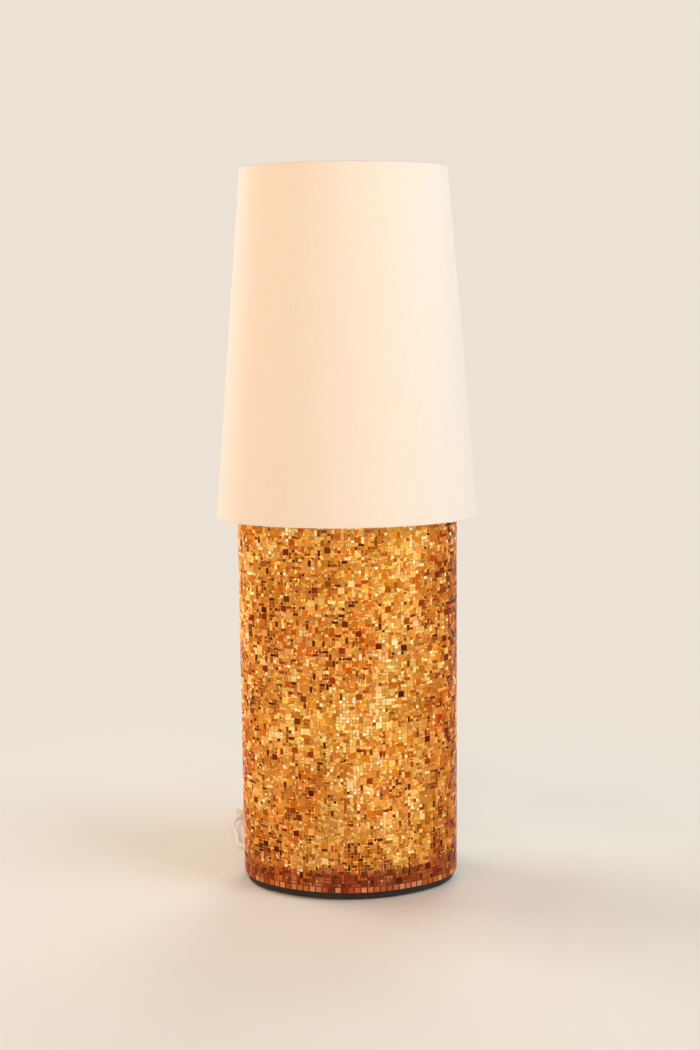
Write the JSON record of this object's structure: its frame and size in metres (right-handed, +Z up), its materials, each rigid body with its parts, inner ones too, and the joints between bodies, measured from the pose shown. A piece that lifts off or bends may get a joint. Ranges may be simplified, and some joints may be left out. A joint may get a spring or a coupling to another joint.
{
  "type": "oval floor lamp",
  "caption": "Floor lamp with an oval mosaic-clad lit body, a lift-off tapered oval fabric shade, screw bulbs, an inline rocker switch and a two-pin plug.",
  "frame": {"origin": "on the floor, under the middle of the oval body", "axes": "+X to the right of someone facing the lamp, along the oval's long axis; +Y to the back, where the cord leaves; +Z up"},
  "size_m": [0.3753, 0.4751, 1.01],
  "materials": {
    "foot_rubber": "matte moulded",
    "plinth_steel": "black powder coat",
    "zinc_steel": "zinc plated",
    "base_wood": "plain plywood",
    "opal_tube": "opal acrylic",
    "grout_bed": "tile adhesive and grout",
    "mosaic_glass": "amber glass mosaic, lit from behind",
    "cap_lacquer": "off-white lacquered board",
    "white_metal": "white powder coat",
    "holder_white": "moulded",
    "holder_ceramic": "glazed porcelain",
    "contact_brass": "stamped",
    "terminal_plastic": "moulded",
    "cord_pvc": "white PVC sheath",
    "gland_plastic": "white nylon",
    "relief_rubber": "white moulded sleeve",
    "switch_white": "moulded",
    "plug_white": "moulded",
    "pin_nickel": "nickel plated",
    "shade_fabric": "plain laminated cotton",
    "cap_nickel": "plated screw cap",
    "bulb_glass": "opal",
    "bulb_strip": "phosphor strips on a glass stem"
  },
  "bodies": {
    "root": {"rubber_feet": "foot_rubber", "ballast_plate": "plinth_steel", "base_screws": "zinc_steel", "base_block": "base_wood", "body_tube": "opal_tube", "mosaic_bed": "grout_bed", "mosaic_skin": "mosaic_glass", "top_cap": "cap_lacquer", "centre_pipe": "zinc_steel", "pipe_nuts": "zinc_steel", "pipe_washers": "zinc_steel", "riser_sleeve": "white_metal", "holder_cap": "holder_white", "holder_shell": "holder_white", "holder_core": "holder_ceramic", "holder_contacts": "contact_brass", "shade_ring_lower": "holder_white", "shade_ring_upper": "holder_white", "shade_gallery": "white_metal", "terminal_block": "terminal_plastic", "pipe_wire": "cord_pvc", "holder_wires": "cord_pvc", "supply_cord": "cord_pvc", "cord_gland": "gland_plastic", "gland_nut": "gland_plastic", "gland_relief": "relief_rubber", "cord_to_switch": "cord_pvc", "switch_base": "switch_white", "switch_cover": "switch_white", "rocker_pin": "zinc_steel", "switch_screws": "zinc_steel", "switch_terminals": "contact_brass", "switch_reliefs": "relief_rubber", "cord_to_coil": "cord_pvc", "cord_coil": "cord_pvc", "cord_to_plug": "cord_pvc", "plug_relief": "relief_rubber", "plug_body": "plug_white", "plug_pins": "pin_nickel", "left_batten": "holder_white", "left_batten_contacts": "contact_brass", "right_batten": "holder_white", "right_batten_contacts": "contact_brass", "batten_screws": "zinc_steel"},
    "shade": {"shade_fitter": "white_metal", "shade_bottom_wire": "white_metal", "shade_top_wire": "white_metal", "shade_panel": "shade_fabric", "shade_hem_bottom": "shade_fabric", "shade_hem_top": "shade_fabric", "shade_seam": "shade_fabric"},
    "bulb": {"bulb_cap": "cap_nickel", "bulb_globe": "bulb_glass", "bulb_filament": "bulb_strip"},
    "left_bulb": {"left_bulb_cap": "cap_nickel", "left_bulb_glass": "bulb_glass"},
    "right_bulb": {"right_bulb_cap": "cap_nickel", "right_bulb_glass": "bulb_glass"},
    "rocker": {"rocker": "switch_white"}
  },
  "joints": [
    {"name": "shade_lift", "type": "slide", "parent": "root", "child": "shade", "axis": [0, 0, 1], "range_m": [0, 0.25]},
    {"name": "bulb_turn", "type": "hinge", "parent": "root", "child": "bulb", "pos_m": [0, 0, 0.665], "axis": [0, 0, 1], "continuous": true},
    {"name": "left_bulb_turn", "type": "hinge", "parent": "root", "child": "left_bulb", "pos_m": [-0.075, 0, 0.085], "axis": [0, 0, 1], "continuous": true},
    {"name": "right_bulb_turn", "type": "hinge", "parent": "root", "child": "right_bulb", "pos_m": [0.075, 0, 0.085], "axis": [0, 0, 1], "continuous": true},
    {"name": "rocker_tilt", "type": "hinge", "parent": "root", "child": "rocker", "pos_m": [-0.16742, 0.26231, 0.013], "axis": [-0.9397, 0.342, 0], "range_deg": [-16, 0]}
  ]
}
